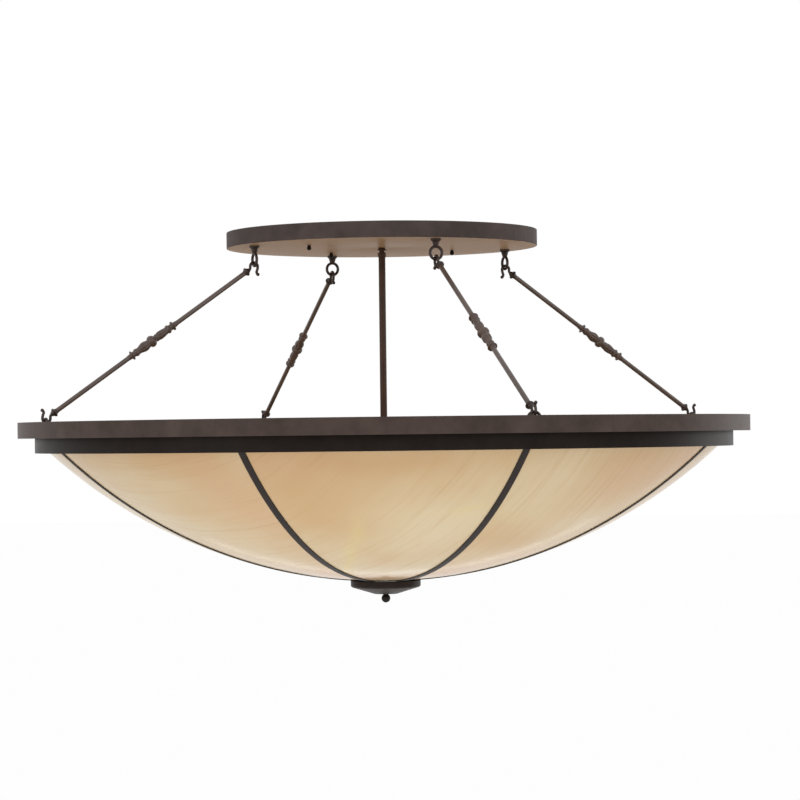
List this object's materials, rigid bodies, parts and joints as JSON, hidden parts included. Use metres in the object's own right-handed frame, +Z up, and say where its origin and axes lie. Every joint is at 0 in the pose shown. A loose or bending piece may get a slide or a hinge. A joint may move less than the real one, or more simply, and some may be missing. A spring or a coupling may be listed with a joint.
{
  "type": "semi flush ceiling light",
  "caption": "Wide shallow bowl of bent art glass panels in a banded bronze frame with metal ribs, hung close below a round canopy by a centre stem and slanted hooked rods.",
  "frame": {"origin": "centre of the canopy's open top, in the plane of the ceiling", "axes": "+Z up towards the ceiling, -Y the front of the fixture as pictured"},
  "size_m": [1.8286, 1.8286, 0.9321],
  "materials": {
    "zinc_steel": "zinc plated, dull",
    "canopy_bronze": "textured dark bronze",
    "knob_bronze": "dark bronze",
    "eye_bronze": "dark bronze",
    "stem_bronze": "dark bronze",
    "band_bronze": "textured dark bronze",
    "ledge_bronze": "textured dark bronze",
    "lower_band_bronze": "dark bronze, nearly black",
    "inner_bronze": "dark bronze",
    "rib_bronze": "dark bronze",
    "screw_black": "black",
    "cap_bronze": "satin dark bronze",
    "ball_bronze": "dark bronze",
    "hanger_bronze": "cast, dark bronze",
    "porcelain": "white glaze",
    "art_glass": "streaked honey art glass",
    "lamp_glass": "frosted bulb with a screw shell"
  },
  "bodies": {
    "canopy": {"ceiling_bracket": "zinc_steel", "bracket_studs": "zinc_steel", "canopy_pan": "canopy_bronze", "upper_eyes": "eye_bronze", "eye_nuts": "zinc_steel", "stem_nipple": "zinc_steel", "stem_flange": "stem_bronze", "stem_coupling": "stem_bronze", "centre_stem": "stem_bronze", "stem_nuts": "zinc_steel"},
    "bowl": {"upper_band": "band_bronze", "step_ring": "ledge_bronze", "lower_band": "lower_band_bronze", "spider_arms": "inner_bronze", "spider_hub": "inner_bronze", "hub_cup": "inner_bronze", "arm_bolts": "zinc_steel", "lower_eyes": "eye_bronze", "ribs": "rib_bronze", "rib_screws": "screw_black", "bottom_plate": "zinc_steel", "lower_stem": "zinc_steel", "lower_stem_nuts": "zinc_steel", "lamp_hub": "inner_bronze", "lamp_arms": "inner_bronze", "lampholders": "porcelain", "glass_panel_1": "art_glass", "glass_panel_2": "art_glass", "glass_panel_3": "art_glass", "glass_panel_4": "art_glass", "glass_panel_5": "art_glass", "glass_panel_6": "art_glass", "glass_panel_7": "art_glass", "glass_panel_8": "art_glass"},
    "canopy_knob_1": {"canopy_knob_1": "knob_bronze"},
    "canopy_knob_2": {"canopy_knob_2": "knob_bronze"},
    "canopy_knob_3": {"canopy_knob_3": "knob_bronze"},
    "canopy_knob_4": {"canopy_knob_4": "knob_bronze"},
    "finial_cap": {"finial_cap": "cap_bronze"},
    "finial_knob": {"finial_knob": "ball_bronze"},
    "hanger_front_right": {"hanger_front_right_hooks": "hanger_bronze", "hanger_front_right_rods": "hanger_bronze", "hanger_front_right_spindle": "hanger_bronze"},
    "hanger_back_right": {"hanger_back_right_hooks": "hanger_bronze", "hanger_back_right_rods": "hanger_bronze", "hanger_back_right_spindle": "hanger_bronze"},
    "hanger_back_left": {"hanger_back_left_hooks": "hanger_bronze", "hanger_back_left_rods": "hanger_bronze", "hanger_back_left_spindle": "hanger_bronze"},
    "hanger_front_left": {"hanger_front_left_hooks": "hanger_bronze", "hanger_front_left_rods": "hanger_bronze", "hanger_front_left_spindle": "hanger_bronze"},
    "bulb_1": {"bulb_1": "lamp_glass"},
    "bulb_2": {"bulb_2": "lamp_glass"},
    "bulb_3": {"bulb_3": "lamp_glass"},
    "bulb_4": {"bulb_4": "lamp_glass"},
    "bulb_5": {"bulb_5": "lamp_glass"},
    "bulb_6": {"bulb_6": "lamp_glass"},
    "bulb_7": {"bulb_7": "lamp_glass"},
    "bulb_8": {"bulb_8": "lamp_glass"}
  },
  "joints": [
    {"name": "bowl_twist", "type": "hinge", "parent": "canopy", "child": "bowl", "pos_m": [0, 0, -0.5], "axis": [0, 0, 1], "range_deg": [-2, 2]},
    {"name": "hanger_front_right_swing", "type": "hinge", "parent": "canopy", "child": "hanger_front_right", "pos_m": [0.1303, -0.31458, -0.0895], "axis": [0.2183, -0.527, 0.8214], "range_deg": [-2.7, 2.7]},
    {"name": "hanger_back_right_swing", "type": "hinge", "parent": "canopy", "child": "hanger_back_right", "pos_m": [0.31458, 0.1303, -0.0895], "axis": [0.527, 0.2183, 0.8214], "range_deg": [-2.7, 2.7]},
    {"name": "hanger_back_left_swing", "type": "hinge", "parent": "canopy", "child": "hanger_back_left", "pos_m": [-0.1303, 0.31458, -0.0895], "axis": [-0.2183, 0.527, 0.8214], "range_deg": [-2.7, 2.7]},
    {"name": "hanger_front_left_swing", "type": "hinge", "parent": "canopy", "child": "hanger_front_left", "pos_m": [-0.31458, -0.1303, -0.0895], "axis": [-0.527, -0.2183, 0.8214], "range_deg": [-2.7, 2.7]},
    {"name": "cap_drop", "type": "slide", "parent": "bowl", "child": "finial_cap", "axis": [0, 0, -1], "range_m": [0, 0.012]},
    {"name": "knob_turn", "type": "hinge", "parent": "finial_cap", "child": "finial_knob", "pos_m": [0, 0, -0.92], "axis": [0, 0, -1], "range_deg": [0, 4593]},
    {"name": "canopy_knob_1_turn", "type": "hinge", "parent": "canopy", "child": "canopy_knob_1", "pos_m": [0.13049, -0.1796, -0.045], "axis": [0, 0, -1], "range_deg": [0, 2880]},
    {"name": "canopy_knob_2_turn", "type": "hinge", "parent": "canopy", "child": "canopy_knob_2", "pos_m": [0.1796, 0.13049, -0.045], "axis": [0, 0, -1], "range_deg": [0, 2880]},
    {"name": "canopy_knob_3_turn", "type": "hinge", "parent": "canopy", "child": "canopy_knob_3", "pos_m": [-0.13049, 0.1796, -0.045], "axis": [0, 0, -1], "range_deg": [0, 2880]},
    {"name": "canopy_knob_4_turn", "type": "hinge", "parent": "canopy", "child": "canopy_knob_4", "pos_m": [-0.1796, -0.13049, -0.045], "axis": [0, 0, -1], "range_deg": [0, 2880]},
    {"name": "bulb_1_lift", "type": "slide", "parent": "bowl", "child": "bulb_1", "axis": [0, 0, 1], "range_m": [0, 0.03]},
    {"name": "bulb_2_lift", "type": "slide", "parent": "bowl", "child": "bulb_2", "axis": [0, 0, 1], "range_m": [0, 0.03]},
    {"name": "bulb_3_lift", "type": "slide", "parent": "bowl", "child": "bulb_3", "axis": [0, 0, 1], "range_m": [0, 0.03]},
    {"name": "bulb_4_lift", "type": "slide", "parent": "bowl", "child": "bulb_4", "axis": [0, 0, 1], "range_m": [0, 0.03]},
    {"name": "bulb_5_lift", "type": "slide", "parent": "bowl", "child": "bulb_5", "axis": [0, 0, 1], "range_m": [0, 0.03]},
    {"name": "bulb_6_lift", "type": "slide", "parent": "bowl", "child": "bulb_6", "axis": [0, 0, 1], "range_m": [0, 0.03]},
    {"name": "bulb_7_lift", "type": "slide", "parent": "bowl", "child": "bulb_7", "axis": [0, 0, 1], "range_m": [0, 0.03]},
    {"name": "bulb_8_lift", "type": "slide", "parent": "bowl", "child": "bulb_8", "axis": [0, 0, 1], "range_m": [0, 0.03]}
  ],
  "couplings": [
    {"joint": "hanger_front_right_swing", "follows": "bowl_twist", "ratio": 1.3421},
    {"joint": "hanger_back_right_swing", "follows": "bowl_twist", "ratio": 1.3421},
    {"joint": "hanger_back_left_swing", "follows": "bowl_twist", "ratio": 1.3421},
    {"joint": "hanger_front_left_swing", "follows": "bowl_twist", "ratio": 1.3421},
    {"joint": "knob_turn", "follows": "cap_drop", "rad_per_m": 6679}
  ]
}
